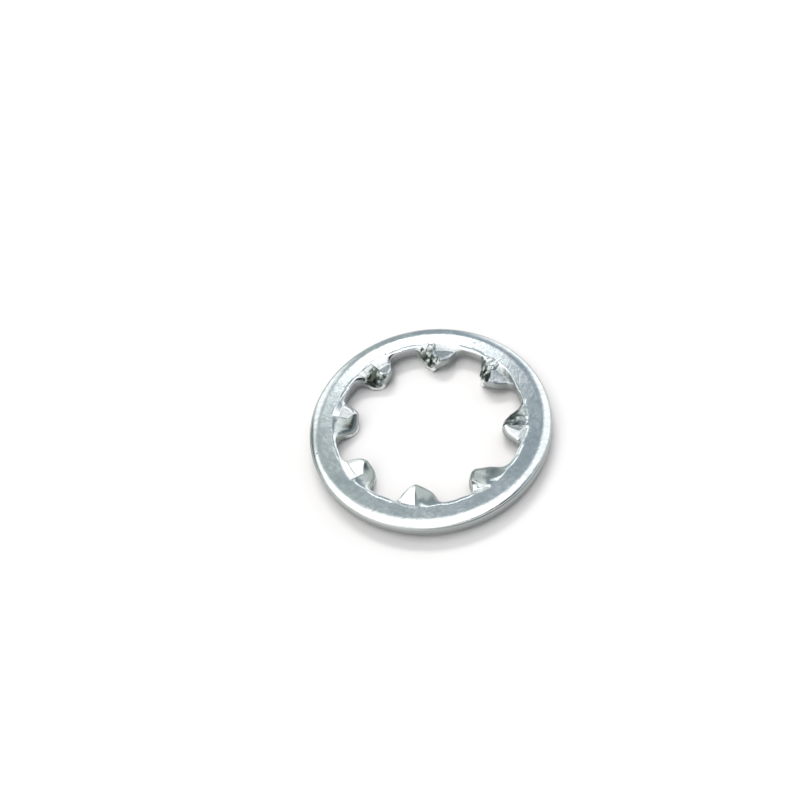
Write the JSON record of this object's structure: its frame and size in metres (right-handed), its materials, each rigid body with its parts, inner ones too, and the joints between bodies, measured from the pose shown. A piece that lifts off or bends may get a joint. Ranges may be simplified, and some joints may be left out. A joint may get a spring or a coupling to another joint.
{
  "type": "toothed lock washer",
  "caption": "Flat ring washer with twisted teeth pointing inwards that bite into a screw head and the part under it, so the screw doesn't work loose.",
  "frame": {"origin": "on the washer's axis, at the level of the teeth's lowest corners", "axes": "+Z along the washer's axis, up from the surface it lies on; one tooth lies on +X"},
  "size_m": [0.0178, 0.0178, 0.0015],
  "materials": {
    "zinc_plated_steel": "bright zinc plate, lightly marked"
  },
  "bodies": {
    "root": {"lock_washer": "zinc_plated_steel"}
  },
  "joints": []
}
